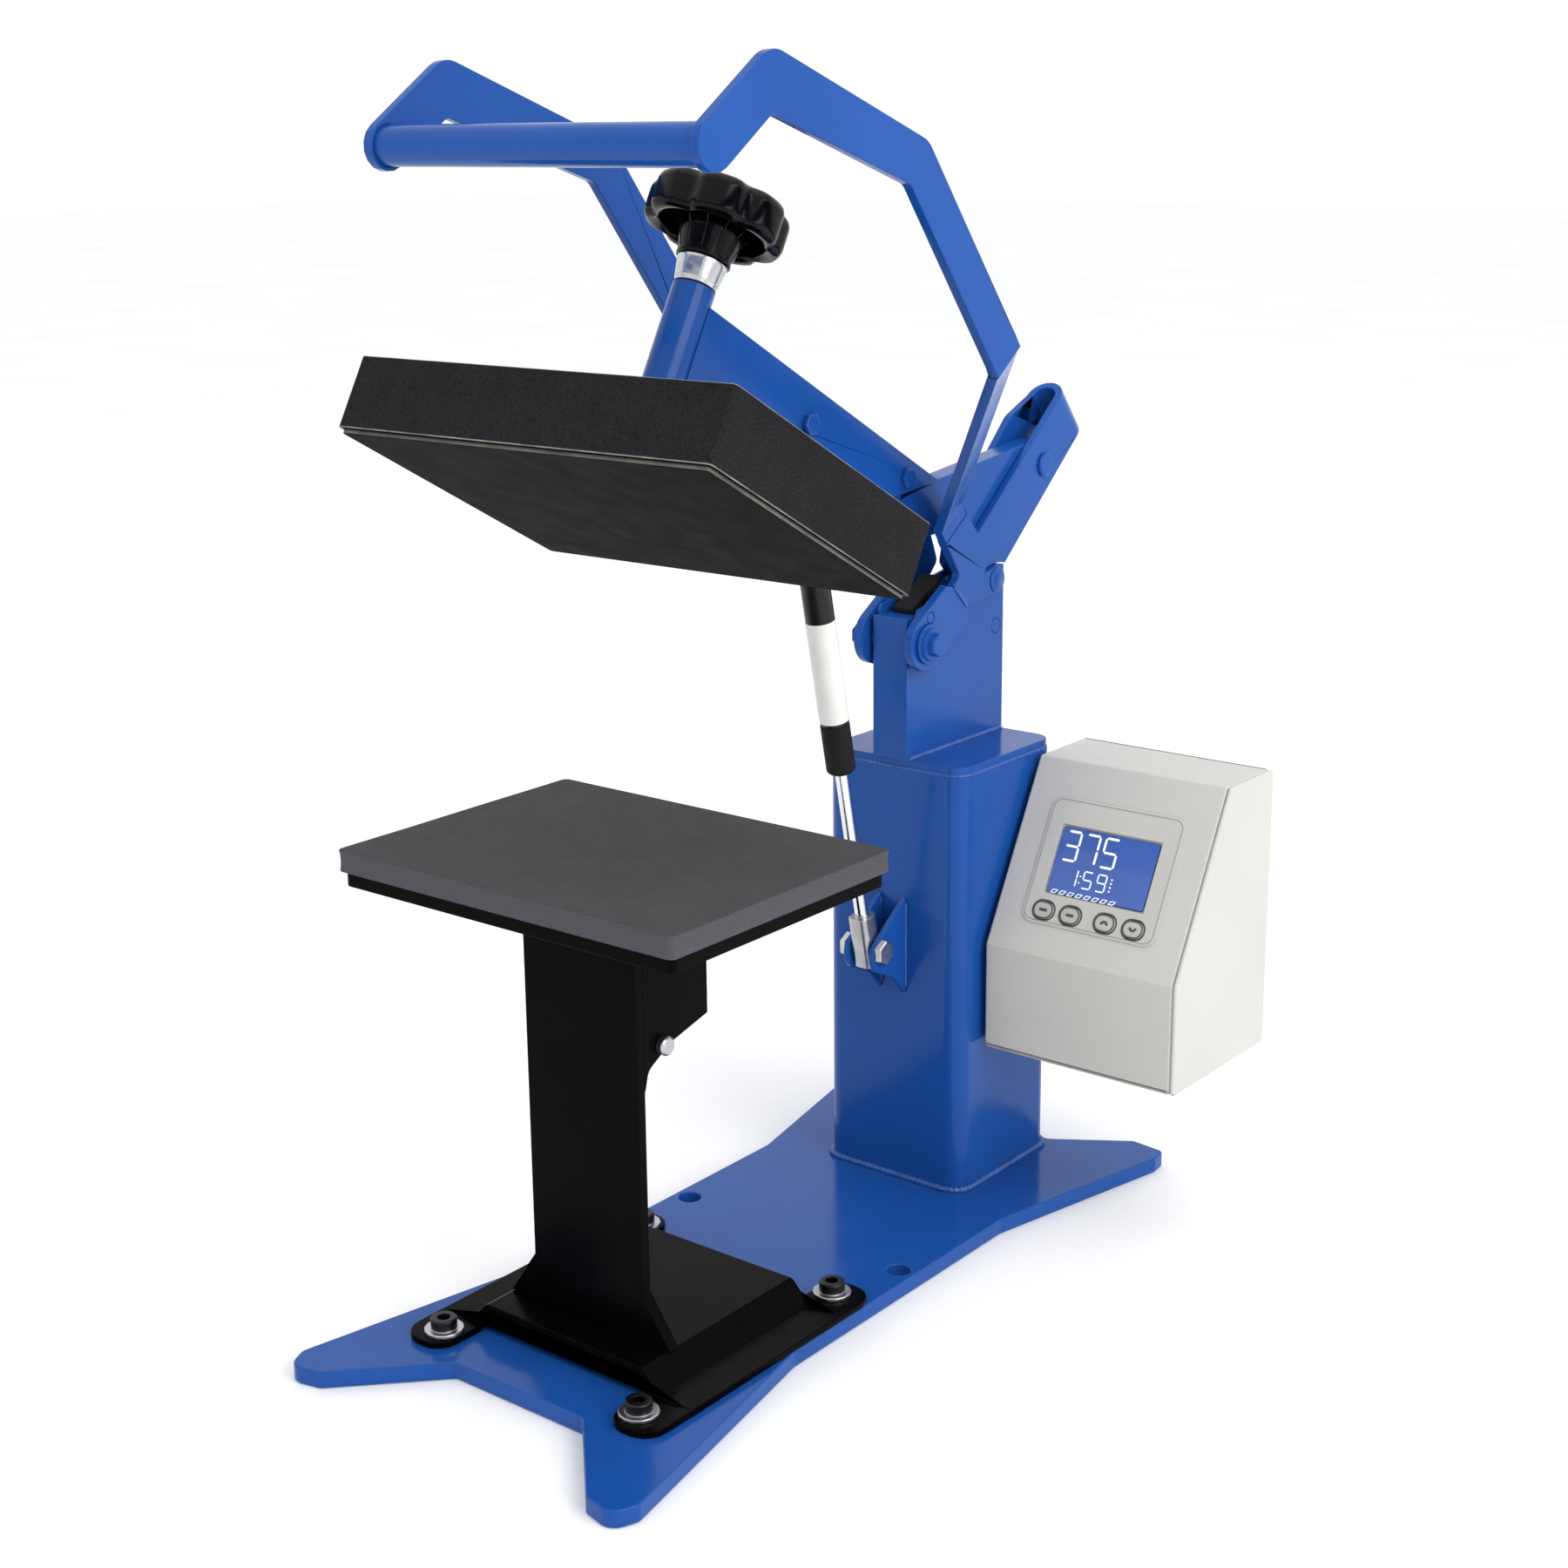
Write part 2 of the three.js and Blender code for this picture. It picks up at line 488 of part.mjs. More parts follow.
function handle() {
  const d = [Math.cos(-53.7 * DEG), Math.sin(-53.7 * DEG)];
  const arc = [];
  for (let k = 0; k <= 8; k++) {
    const a = (125 + 180 * (k / 8)) * DEG;
    arc.push([GRIP[0] + 11 * Math.cos(a), GRIP[1] + 11 * Math.sin(a)]);
  }
  const front = [...arc, [3.3, 571.2, 5], [98, 541, 8], [168.6, 451.5], [186.7, 464.9], [111.5, 559.5, 14], [3.2, 597.7, 14]];
  for (const [name, s] of [['left', -1], ['right', 1]]) {
    const flat = (a, b) => (s > 0 ? [a, b] : [-b, -a]);
    let bar = alongX(front, ...flat(...SIDE_X), 5);
    const m = 5;
    const mid = (LEVER_X[0] + LEVER_X[1]) / 2;
    const out = (SIDE_X[0] + SIDE_X[1]) / 2;
    const run = 112;
    const lean = Math.atan2(out - mid, run);
    const mitre = (m / 2) * Math.tan(lean / 2);
    const h = m / 2;
    const strip = [
      [out + h, -6], [out + h, mitre], [mid + h, run + mitre], [mid + h, run + 8],
      [mid - h, run + 8], [mid - h, run - mitre], [out - h, -mitre], [out - h, -6],
    ].map(([x, y]) => [s * x, y]);
    const w = 22.5;
    const slab = alongZ(strip, -w / 2, w / 2).rotate([-53.7, 0, 0]).translate([0, 176.6, 460]);
    bar = bar.add(slab);
    const end = [176.6 + d[0] * (run + 6), 460 + d[1] * (run + 6)];
    const lower = [
      [end[0] - 9.07, end[1] - 6.66], [end[0] + 9.07, end[1] + 6.66], [270, 356, 4], [277, 339, 4],
      [258.4, 320.6], [245.5, 333.4], [251.5, 338, 3],
    ];
    let leg = alongX(lower.reverse(), ...flat(...LEVER_X), 4);
    bar = bar.add(leg);
    bar = bar.subtract(cross(GRIP, GRIP_R + 0.1, s * 89, s * 91.3));
    add(`handle_bar_${name}`, bar, 'blue');
    const from = [LEVER_PIVOT[0], LEVER_PIVOT[1]];
    const e = [Math.cos(31.5 * DEG), Math.sin(31.5 * DEG)];
    const plate = [];
    for (let k = 0; k <= 12; k++) {
      const a = (31.5 + 90 + 180 * (k / 12)) * DEG;
      plate.push([from[0] + 14.5 * Math.cos(a), from[1] + 14.5 * Math.sin(a)]);
    }
    plate.push([from[0] + 36 * e[0] + 14.5 * e[1], from[1] + 36 * e[1] - 14.5 * e[0]]);
    plate.push([258.1, 320.3], [245.2, 333.1]);
    plate.push([from[0] + 29 * e[0] - 14.5 * e[1], from[1] + 29 * e[1] + 14.5 * e[0]]);
    let lever = alongX(plate, ...flat(...LEVER_X));
    lever = lever.subtract(cross(LEVER_PIVOT, 5.3, -30, 30)).subtract(cross(LINK_LEVER, 3.3, -30, 30));
    add(`lever_plate_${name}`, lever, 'blue');
    // the link between the lever and the tail plate, in the gap beside the post
    const [ay, az] = LINK_ARM;
    const [ly, lz] = LINK_LEVER;
    const angle = Math.atan2(az - lz, ay - ly);
    const capsule = [];
    for (let k = 0; k <= 8; k++) {
      const a = angle - Math.PI / 2 + (Math.PI * k) / 8;
      capsule.push([ay + 7.2 * Math.cos(a), az + 7.2 * Math.sin(a)]);
    }
    for (let k = 0; k <= 8; k++) {
      const a = angle + Math.PI / 2 + (Math.PI * k) / 8;
      capsule.push([ly + 4.5 * Math.cos(a), lz + 4.5 * Math.sin(a)]);
    }
    let link = alongX(capsule, ...flat(11, 13.2));
    link = link.subtract(cross(LINK_ARM, 4.9, -30, 30));
    link = link.add(cross(LINK_LEVER, 3, s * 11, s * 18.3, 20));
    add(`toggle_link_${name}`, link, 'blue');
  }
  add('handle_grip', cross(GRIP, GRIP_R, -91.2, 91.2, 32), 'blue');
}

// ---------------------------------------------------------------- gas spring
function gasSpring() {
  const n = 20;
  const top = SPRING_LENGTH;
  let rodPiece = rod([0, 0, 10], [0, 0, 172], 3.5, 24);
  rodPiece = rodPiece.add(roundedBox(11.4, 12, -9, 20, 3));
  rodPiece = rodPiece.subtract(rod([-20, 0, 0], [20, 0, 0], 4.3, 24));
  add('spring_rod', onSpring(rodPiece), 'zinc');
  const cap = turned([0, 0, 0], [0, 0, 1], [
    [3.9, 103.5], [6.2, 103.5], [7.6, 105], [7.6, 130.5], [3.9, 130.5], [3.9, 103.5],
  ], n);
  add('spring_cap', onSpring(cap), 'rubber');
  const neck = top - 30;
  let barrel = turned([0, 0, 0], [0, 0, 1], [
    [6.2, 130.7], [7.5, 130.7], [7.5, neck - 3], [6, neck], [4, neck], [4, top - 6], [0, top - 6],
    [0, neck - 8], [6.2, neck - 8], [6.2, 130.7],
  ], n);
  barrel = barrel.add(rod([-4, 0, top], [4, 0, top], 9.4, 20));
  barrel = barrel.subtract(rod([-9, 0, top], [9, 0, top], 6.6, 20));
  add('spring_barrel', onSpring(barrel), 'black');
}

// ---------------------------------------------------------------- controller
function controller() {
  const c = CASE;
  const outer = (inset) => [
    [c.yLow + inset, c.low + inset, 2], [c.back - inset, c.low + inset, 2], [c.back - inset, c.top - inset, 2],
    [c.yTop + inset * 0.5, c.top - inset, 2], [c.yLow + inset, c.kink + inset * 0.25, 2],
  ];
  const wall = 2.2;
  let shell = alongX(outer(0), c.x0, c.x1 - 2.6, 3);
  shell = shell.subtract(alongX(outer(wall), c.x0 + wall, c.x1 + 1, 3));
  shell = shell.subtract(onSlope(box(74.5, 132.5, -71.6, -35.3, -6, 6)));
  const spots = [77, 93.1, 113.7, 130.3];
  for (const x of spots) {
    shell = shell.subtract(onSlope(roundedBox(12.8, 10.2, -6, 6, 5, x, -81.5)));
  }
  shell = shell.subtract(box(84, 106, c.back - 5, c.back + 5, 108, 122));
  shell = shell.subtract(box(116, 144, c.back - 5, c.back + 5, 104, 126));
  shell = shell.subtract(rod([66, c.back - 5, 115], [66, c.back + 5, 115], 6.2, 24));
  add('controller_case', shell, 'plastic');
  add('controller_side_cover', alongX(outer(0), c.x1 - 2.5, c.x1, 3), 'plastic');
  let overlay = onSlope(roundedBox(79, 68.5, 0.12, 0.9, 6, 104, -54.5));
  overlay = overlay.subtract(onSlope(box(73.7, 133.3, -72.3, -34.5, -1, 3)));
  for (const x of spots) {
    overlay = overlay.subtract(onSlope(roundedBox(12.8, 10.2, -1, 3, 5, x, -81.5)));
  }
  add('controller_overlay', overlay, 'overlay');
  const screen = roundedBox(57.4, 35.6, -2.4, 0.6, 1, 103.5, -53.45);
  add('display', onSlope(screen), 'screen');
  spots.forEach((x, i) => {
    let key = roundedBox(11.8, 9.2, -2.9, 1.7, 4.5, x, -81.5);
    key = key.add(roundedBox(14.6, 11.6, -4.6, -2.9, 5, x, -81.5));
    key = key.add(rod([x, -81.5, -7.6], [x, -81.5, -4], 1.6, 12));
    add(`button_${i + 1}`, onSlope(key), 'button');
  });
  let board = onSlope(box(58, 152, -96, -16, -11, -9.4));
  for (const [x, y] of [[62, -20], [148, -20], [62, -92], [148, -92]]) {
    board = board.add(onSlope(rod([x, y, -9.6], [x, y, -2.6], 2.4, 12)));
  }
  add('circuit_board', board, 'board');
  const y = c.back;
  let inlet = box(113, 147, y + 0.1, y + 2.6, 101, 129);
  inlet = inlet.add(box(116.3, 143.7, y - 15, y + 0.2, 104.3, 125.7));
  inlet = inlet.subtract(box(119, 141, y - 12, y + 4, 107, 123));
  for (const [x, z] of [[124, 113], [136, 113], [130, 118]]) {
    inlet = inlet.add(box(x - 1, x + 1, y - 13, y - 2, z - 2, z + 2));
  }
  add('power_inlet', inlet, 'rubber');
  let frame = box(82, 108, y + 0.1, y + 1.8, 106, 124).add(box(84.3, 105.7, y - 14, y + 0.2, 108.3, 121.7));
  frame = frame.subtract(box(85.8, 104.2, y - 11, y + 4, 109.8, 120.2));
  add('switch_housing', frame, 'rubber');
  const paddle = [
    [87, y - 6], [103, y - 6], [103, y + 1.2], [95, y - 1.2], [87, y + 3.4],
  ];
  add('rocker_switch', alongZ(paddle, 110.4, 119.6), 'knob');
  let gland = turned([66, y + 0.1, 115], [0, 1, 0], [
    [3.2, -12], [6, -12], [6, 0], [10, 0], [10, 5.5], [8.4, 6.5], [7.6, 15], [5.6, 17.6], [3.2, 17.6], [3.2, -12],
  ], 16);
  add('cable_gland', gland, 'rubber');
  let bracket = alongX([[258, 112, 3], [300, 112, 3], [300, 224, 3], [292, 224, 3], [262, 160, 3]], COLUMN.w / 2 + 0.15, c.x0 - 0.15, 3);
  add('controller_bracket', bracket, 'black');
}

basePlate();
column();
post();
leverBolt();
springBracket();
pedestalFoot();
pedestal();
armChannel();
tailPlate();
yoke();
armBolts();
spindleTube();
platen();
pressureKnob();
handle();
gasSpring();
controller();

export default group;
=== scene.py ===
"""Label heat press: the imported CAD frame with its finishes, fine pieces, floor, light and camera."""
import math

import bmesh
import bpy
from mathutils import Matrix, Vector, noise


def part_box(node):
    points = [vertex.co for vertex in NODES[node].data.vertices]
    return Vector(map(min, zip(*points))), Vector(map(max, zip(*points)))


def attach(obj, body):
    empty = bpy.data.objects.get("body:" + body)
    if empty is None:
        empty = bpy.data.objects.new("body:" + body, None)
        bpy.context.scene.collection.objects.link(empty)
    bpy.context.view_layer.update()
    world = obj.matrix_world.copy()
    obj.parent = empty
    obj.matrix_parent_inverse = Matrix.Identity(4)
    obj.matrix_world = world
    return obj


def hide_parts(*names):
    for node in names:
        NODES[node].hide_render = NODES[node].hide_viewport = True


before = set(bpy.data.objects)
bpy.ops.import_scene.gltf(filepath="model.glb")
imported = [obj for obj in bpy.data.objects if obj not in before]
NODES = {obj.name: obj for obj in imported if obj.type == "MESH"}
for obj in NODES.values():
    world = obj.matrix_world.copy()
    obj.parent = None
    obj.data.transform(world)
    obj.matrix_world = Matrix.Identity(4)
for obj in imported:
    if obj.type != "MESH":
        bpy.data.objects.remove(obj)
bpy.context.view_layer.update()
MM = 0.001

# ---------------------------------------------------------------- named measures, in millimetres
TILT = math.radians(28.9)
ARM_PIVOT = (297.5, 303.0)
PAD_TOP = 248.5
CLOSED_GAP = 0.6
BASE_T = 8.5
COLUMN_HALF, COLUMN_Y, COLUMN_TOP, COLUMN_R = 44.45, 261.05, 244.7, 10.6
POST_HALF, POST_Y = 10.7, (214.5, 304.5)
SPRING_LOW = (194.0, 145.5)
SPRING_PIN_ARM = (94.4, 84.7)
LEVER_OUT = 18.4
WASHER_TOP = 14.05
CASE_TOP = (285.3, 239.5)
CASE_KINK = (234.4, 147.0)
LCD = (73.7, 133.3, 34.5, 72.3)
KEYS_X = (77.0, 93.1, 113.7, 130.3)
KEYS_S = 81.5
OVERLAY = (104.0, 54.5, 39.5, 34.25)
PLATEN_HALF, PLATEN_DEEP = 108.8, 76.8
LINK_ARM = (294.0, 329.0)
KNOB_LOBES, KNOB_RADIUS, KNOB_GROOVE = 7, 33.0, 3.6
LABEL_BORE = 7.3

# ---------------------------------------------------------------- camera and lights, in metres and degrees
CAMERA_AT = (0.7087, -0.7650, 0.5677)
CAMERA_AZIMUTH, CAMERA_ELEVATION, CAMERA_ROLL = 38.78, 14.36, -0.62
CAMERA_LENS, CAMERA_SHIFT = 54.849, (0.0072, -0.0319)
LIGHTS = (
    ("key", (2.3, -0.2, 1.5), (0, 0.1, 0.25), (1.6, 1.6), 30),
    ("top", (0.2, 0.3, 2.6), (0, 0.15, 0.2), (2.2, 2.2), 10),
)
SKY_COLOR, SKY_STRENGTH = (0.98, 0.99, 1.0), 1.04


def arm_origin():
    y, z = -ARM_PIVOT[0], PAD_TOP + CLOSED_GAP - ARM_PIVOT[1]
    c, s = math.cos(TILT), math.sin(TILT)
    return Vector((0, ARM_PIVOT[0] + y * c + z * s, ARM_PIVOT[1] - y * s + z * c))


ARM_AT = arm_origin()
ARM_UP = (0, math.sin(TILT), math.cos(TILT))
ON_ARM = Matrix.Translation(ARM_AT) @ Matrix.Rotation(-TILT, 4, "X")
SPRING_TOP = ON_ARM @ Vector((0, *SPRING_PIN_ARM))
SPRING_LEAN = math.atan2(SPRING_LOW[0] - SPRING_TOP.y, SPRING_TOP.z - SPRING_LOW[1])
SPRING_LENGTH = math.hypot(SPRING_LOW[0] - SPRING_TOP.y, SPRING_TOP.z - SPRING_LOW[1])
ON_SPRING = Matrix.Translation((0, *SPRING_LOW)) @ Matrix.Rotation(SPRING_LEAN, 4, "X")
SLOPE = math.atan2(CASE_TOP[1] - CASE_KINK[1], CASE_TOP[0] - CASE_KINK[0])
ON_SLOPE = Matrix.Translation((0, *CASE_TOP)) @ Matrix.Rotation(SLOPE, 4, "X")


# ---------------------------------------------------------------- camera, floor and light
def make_camera():
    az, el, roll = (math.radians(a) for a in (CAMERA_AZIMUTH, CAMERA_ELEVATION, CAMERA_ROLL))
    level = Vector((math.cos(az), math.sin(az), 0))
    back = Vector((math.sin(az) * math.cos(el), -math.cos(az) * math.cos(el), math.sin(el)))
    above = back.cross(level)
    right = level * math.cos(roll) + above * math.sin(roll)
    up = above * math.cos(roll) - level * math.sin(roll)
    data = bpy.data.cameras.new("camera")
    data.sensor_width = 36.0
    data.lens = CAMERA_LENS
    data.shift_x, data.shift_y = CAMERA_SHIFT
    data.clip_start, data.clip_end = 0.02, 60
    camera = bpy.data.objects.new("camera", data)
    bpy.context.scene.collection.objects.link(camera)
    turn = Matrix((right, up, back)).transposed().to_4x4()
    turn.translation = Vector(CAMERA_AT)
    camera.matrix_world = turn
    bpy.context.scene.camera = camera


def area_light(name, at, to, size, power):
    data = bpy.data.lights.new(name, "AREA")
    data.shape = "RECTANGLE"
    data.size, data.size_y = size
    data.energy = power
    light = bpy.data.objects.new(name, data)
    light.location = at
    light.rotation_euler = (Vector(to) - Vector(at)).to_track_quat("-Z", "Y").to_euler()
    bpy.context.scene.collection.objects.link(light)


def make_studio():
    bm = bmesh.new()
    bmesh.ops.create_grid(bm, x_segments=4, y_segments=4, size=14.0)
    mesh = bpy.data.meshes.new("floor")
    bm.to_mesh(mesh)
    bm.free()
    floor = bpy.data.objects.new("floor", mesh)
    floor.location.z = -0.0003
    bpy.context.scene.collection.objects.link(floor)
    floor.data.materials.append(
        surface("floor_paper", (0.955, 0.955, 0.955), 0.9, shade=0.02, patch=3.0, grain=0.01,
                grit=180, bump=0.02))
    world = bpy.data.worlds.new("studio")
    bpy.context.scene.world = world
    world.use_nodes = True
    sky = world.node_tree.nodes["Background"]
    sky.inputs["Color"].default_value = (*SKY_COLOR, 1)
    sky.inputs["Strength"].default_value = SKY_STRENGTH
    for light in LIGHTS:
        area_light(*light)
    bpy.context.scene.view_settings.view_transform = "Standard"


# ---------------------------------------------------------------- materials
def surface(name, color, rough, metal=0.0, shade=0.08, patch=14.0, grain=0.04, grit=900.0, bump=0.08,
            bump_size=None, gloss=0.0, gloss_rough=0.1, spread=0.06, specular=0.5, second=None,
            scratches=0.0, glow=0.0):
    """A procedural finish: patchy, grainy colour, uneven roughness, bump, and a coat if it is glossy.

    second is another colour, an axis, and the span of the normal's share of it between the two colours.
    """
    m = bpy.data.materials.new(name)
    m.use_nodes = True
    tree = m.node_tree
    shader = tree.nodes["Principled BSDF"]
    new, link = tree.nodes.new, tree.links.new
    where = new("ShaderNodeTexCoord").outputs["Object"]

    def noise_at(scale, detail=4.0, source=None):
        n = new("ShaderNodeTexNoise")
        n.inputs["Scale"].default_value = scale
        n.inputs["Detail"].default_value = detail
        link(source or where, n.inputs["Vector"])
        return n.outputs["Fac"]

    def ranged(value, low, high, start=0.3, end=0.7):
        r = new("ShaderNodeMapRange")
        r.inputs["From Min"].default_value, r.inputs["From Max"].default_value = start, end
        r.inputs["To Min"].default_value, r.inputs["To Max"].default_value = low, high
        link(value, r.inputs["Value"])
        return r.outputs["Result"]

    def mixed(a, b, factor, kind="MIX"):
        x = new("ShaderNodeMix")
        x.data_type, x.blend_type = "RGBA", kind
        for value, socket in ((factor, x.inputs["Factor"]), (a, x.inputs[6]), (b, x.inputs[7])):
            if isinstance(value, (tuple, float, int)):
                socket.default_value = value
            else:
                link(value, socket)
        return x.outputs[2]

    base = (*color, 1)
    other = (*[min(1, c * (1 + shade)) for c in color], 1)
    dark = (*[c * (1 - shade) for c in color], 1)
    tone = mixed(dark, other, ranged(noise_at(patch, 3.0), 0.0, 1.0))
    if second:
        side_color, up, low, high = second
        facing = new("ShaderNodeVectorMath")
        facing.operation = "DOT_PRODUCT"
        facing.inputs[1].default_value = up
        link(new("ShaderNodeTexCoord").outputs["Normal"], facing.inputs[0])
        tone = mixed((*side_color, 1), tone, ranged(facing.outputs["Value"], 0.0, 1.0, low, high))
    speck = ranged(noise_at(grit, 2.0), 1 - grain, 1 + grain)
    tone = mixed(tone, speck_color(tree, speck), 1.0, "MULTIPLY")
    link(tone, shader.inputs["Base Color"])
    shader.inputs["Metallic"].default_value = metal
    shader.inputs["Specular IOR Level"].default_value = specular
    uneven = noise_at(patch * 5.3, 5.0)
    link(ranged(uneven, max(0.02, rough - spread), min(1, rough + spread)), shader.inputs["Roughness"])
    if gloss:
        shader.inputs["Coat Weight"].default_value = gloss
        shader.inputs["Coat Roughness"].default_value = gloss_rough
    if glow:
        shader.inputs["Emission Color"].default_value = base
        shader.inputs["Emission Strength"].default_value = glow
    relief = noise_at(bump_size or grit, 3.0)
    if scratches:
        stretch = new("ShaderNodeMapping")
        stretch.inputs["Scale"].default_value = (1.0, 0.04, 0.04)
        link(where, stretch.inputs["Vector"])
        lines = noise_at(1400.0, 2.0, stretch.outputs["Vector"])
        add = new("ShaderNodeMath")
        add.operation = "MULTIPLY_ADD"
        add.inputs[1].default_value = scratches
        link(lines, add.inputs[0])
        link(relief, add.inputs[2])
        relief = add.outputs[0]
    b = new("ShaderNodeBump")
    b.inputs["Strength"].default_value = bump
    b.inputs["Distance"].default_value = 0.0008
    link(relief, b.inputs["Height"])
    link(b.outputs["Normal"], shader.inputs["Normal"])
    return m


def speck_color(tree, value):
    grey = tree.nodes.new("ShaderNodeCombineColor")
    for socket in grey.inputs[:3]:
        tree.links.new(value, socket)
    return grey.outputs[0]


def split_metal(name, along, edge, above, above_rough):
    """Dull zinc below a height along an axis and another finish above it, on one turned piece."""
    m = surface(name, (0.50, 0.50, 0.51), 0.34, metal=1.0, shade=0.12, patch=60, grit=1500, bump=0.05)
    tree = m.node_tree
    shader = tree.nodes["Principled BSDF"]
    where = tree.nodes.new("ShaderNodeTexCoord").outputs["Object"]
    dot = tree.nodes.new("ShaderNodeVectorMath")
    dot.operation = "DOT_PRODUCT"
    dot.inputs[1].default_value = along
    tree.links.new(where, dot.inputs[0])
    step = tree.nodes.new("ShaderNodeMapRange")
    step.inputs["From Min"].default_value, step.inputs["From Max"].default_value = edge, edge + 0.0005
    step.inputs["To Min"].default_value, step.inputs["To Max"].default_value = 0, 1
    tree.links.new(dot.outputs["Value"], step.inputs["Value"])
    for socket, bright in (("Base Color", (*above, 1)), ("Roughness", above_rough)):
        old = shader.inputs[socket].links[0].from_socket
        mix = tree.nodes.new("ShaderNodeMix")
        mix.data_type = "RGBA" if socket == "Base Color" else "FLOAT"
        a, b, out = (6, 7, 2) if socket == "Base Color" else (2, 3, 0)
        tree.links.new(step.outputs["Result"], mix.inputs[0])
        tree.links.new(old, mix.inputs[a])
        mix.inputs[b].default_value = bright
        tree.links.new(mix.outputs[out], shader.inputs[socket])
    return m


PAINT_BLUE = (0.0095, 0.072, 0.315)
COATING = (0.0085, 0.0072, 0.0066)
MATS = {
    "blue": surface("blue_powder_coat", PAINT_BLUE, 0.17, shade=0.09, patch=9, grain=0.05, grit=1300,
                    bump=0.035, bump_size=420, spread=0.05, specular=0.19),
    "weld": surface("blue_over_weld", PAINT_BLUE, 0.28, shade=0.25, patch=160, grain=0.15, grit=1100,
                    bump=0.35, bump_size=900, specular=0.6),
    "black": surface("black_satin_paint", (0.0016, 0.0016, 0.0018), 0.24, shade=0.25, patch=20,
                     grain=0.15, grit=1200, bump=0.06, bump_size=500, specular=0.028),
    "cover": surface("textured_cover_paint", (0.014, 0.0135, 0.0155), 0.70, shade=0.10, patch=16,
                     grain=0.45, grit=900, bump=0.50, bump_size=750, spread=0.08, specular=0.07),
    "cover_edge": surface("rubbed_cover_edge", (0.20, 0.19, 0.18), 0.5, shade=0.45, patch=90, grain=0.3,
                          grit=1400, bump=0.3, bump_size=1000),
    "coating": surface("baked_platen_coating", COATING, 0.66, shade=0.10, patch=11, grain=0.25,
                       grit=1300, bump=0.08, bump_size=900, specular=0.03,
                       second=(COATING, ARM_UP, -0.95, -0.75)),
    # The pad's sides are mixed to a lighter grey than its top by the normal: the darker top is painted shade,
    # standing in for how the top looks where the light grazes it.
    "pad": surface("sponge_pad", (0.062, 0.062, 0.064), 0.85, shade=0.08, patch=26, grain=0.22, grit=1900,
                   bump=0.30, bump_size=1500, specular=0.15,
                   second=((0.074, 0.075, 0.086), (0, 0, 1), 0.55, 0.95)),
    "rubber": surface("moulded_rubber", (0.007, 0.007, 0.007), 0.72, shade=0.2, patch=40, grain=0.15,
                      grit=1400, bump=0.15, bump_size=1100, specular=0.2),
    "zinc": surface("zinc_plate", (0.52, 0.52, 0.53), 0.32, metal=1.0, shade=0.14, patch=70, grain=0.08,
                    grit=1600, bump=0.06, bump_size=1300),
    "chrome": surface("turned_collar", (0.56, 0.57, 0.58), 0.20, metal=1.0, shade=0.08, patch=60,
                      grain=0.05, grit=1600, bump=0.04, bump_size=1200, scratches=0.4),
    # The platen rim's lighter colour is a painted sheen, standing for light on the block's rounded lower
    # edge.
    "edge": surface("painted_sheen_rim", (0.115, 0.104, 0.092), 0.42, metal=0.5, shade=0.35, patch=70,
                    grain=0.2, grit=1400, bump=0.15, bump_size=900),
    "spring": surface("gas_spring_paint", (0.005, 0.005, 0.006), 0.28, shade=0.2, patch=30, grain=0.1,
                      grit=1400, bump=0.05, specular=0.3),
    "label": surface("blank_label", (0.78, 0.77, 0.74), 0.45, shade=0.05, patch=80, grain=0.04, grit=1500,
                     bump=0.05, gloss=0.2, gloss_rough=0.25),
    "plastic": surface("case_plastic", (0.568, 0.552, 0.514), 0.48, shade=0.03, patch=12, grain=0.05,
                       grit=1700, bump=0.14, bump_size=1400, specular=0.4),
    "overlay": surface("overlay_film", (0.545, 0.532, 0.490), 0.40, shade=0.03, patch=20, grain=0.04,
                       grit=1500, bump=0.05, gloss=0.1, gloss_rough=0.3),
    "lcd": surface("lcd_glass", (0.040, 0.104, 0.390), 0.25, shade=0.07, patch=28, grain=0.05, grit=2500,
                   bump=0.02, gloss=0.5, gloss_rough=0.05, glow=0.08),
    "line": surface("overlay_line", (0.30, 0.29, 0.26), 0.45, shade=0.08, patch=60, grain=0.05, grit=1500,
                    bump=0.05),
    "digit": surface("lcd_segment", (0.88, 0.92, 0.96), 0.4, shade=0.03, patch=90, grain=0.02, grit=2500,
                     bump=0.02, glow=0.25),
    "key": surface("key_rubber", (0.480, 0.468, 0.430), 0.55, shade=0.05, patch=60, grain=0.05, grit=1500,
                   bump=0.08),
    "ink": surface("key_ink", (0.075, 0.070, 0.062), 0.5, shade=0.25, patch=220, grain=0.1, grit=1500,
                   bump=0.06),
    "knob": surface("knob_plastic", (0.0018, 0.0018, 0.002), 0.16, shade=0.2, patch=30, grain=0.1,
                    grit=1800, bump=0.02, bump_size=900, specular=0.16, spread=0.05),
    "black_plastic": surface("black_plastic", (0.014, 0.014, 0.015), 0.45, shade=0.2, patch=40,
                             grain=0.12, grit=1500, bump=0.10, bump_size=1200),
    "board": surface("circuit_board", (0.012, 0.10, 0.035), 0.4, shade=0.2, patch=90, grain=0.1,
                     grit=900),
    "insulation": surface("insulation_fibre", (0.62, 0.57, 0.46), 0.9, shade=0.12, patch=50, grain=0.2,
                          grit=900, bump=0.4),
    "element": surface("element_sheath", (0.28, 0.24, 0.21), 0.5, metal=0.9, shade=0.3, patch=60,
                       grit=1200),
}


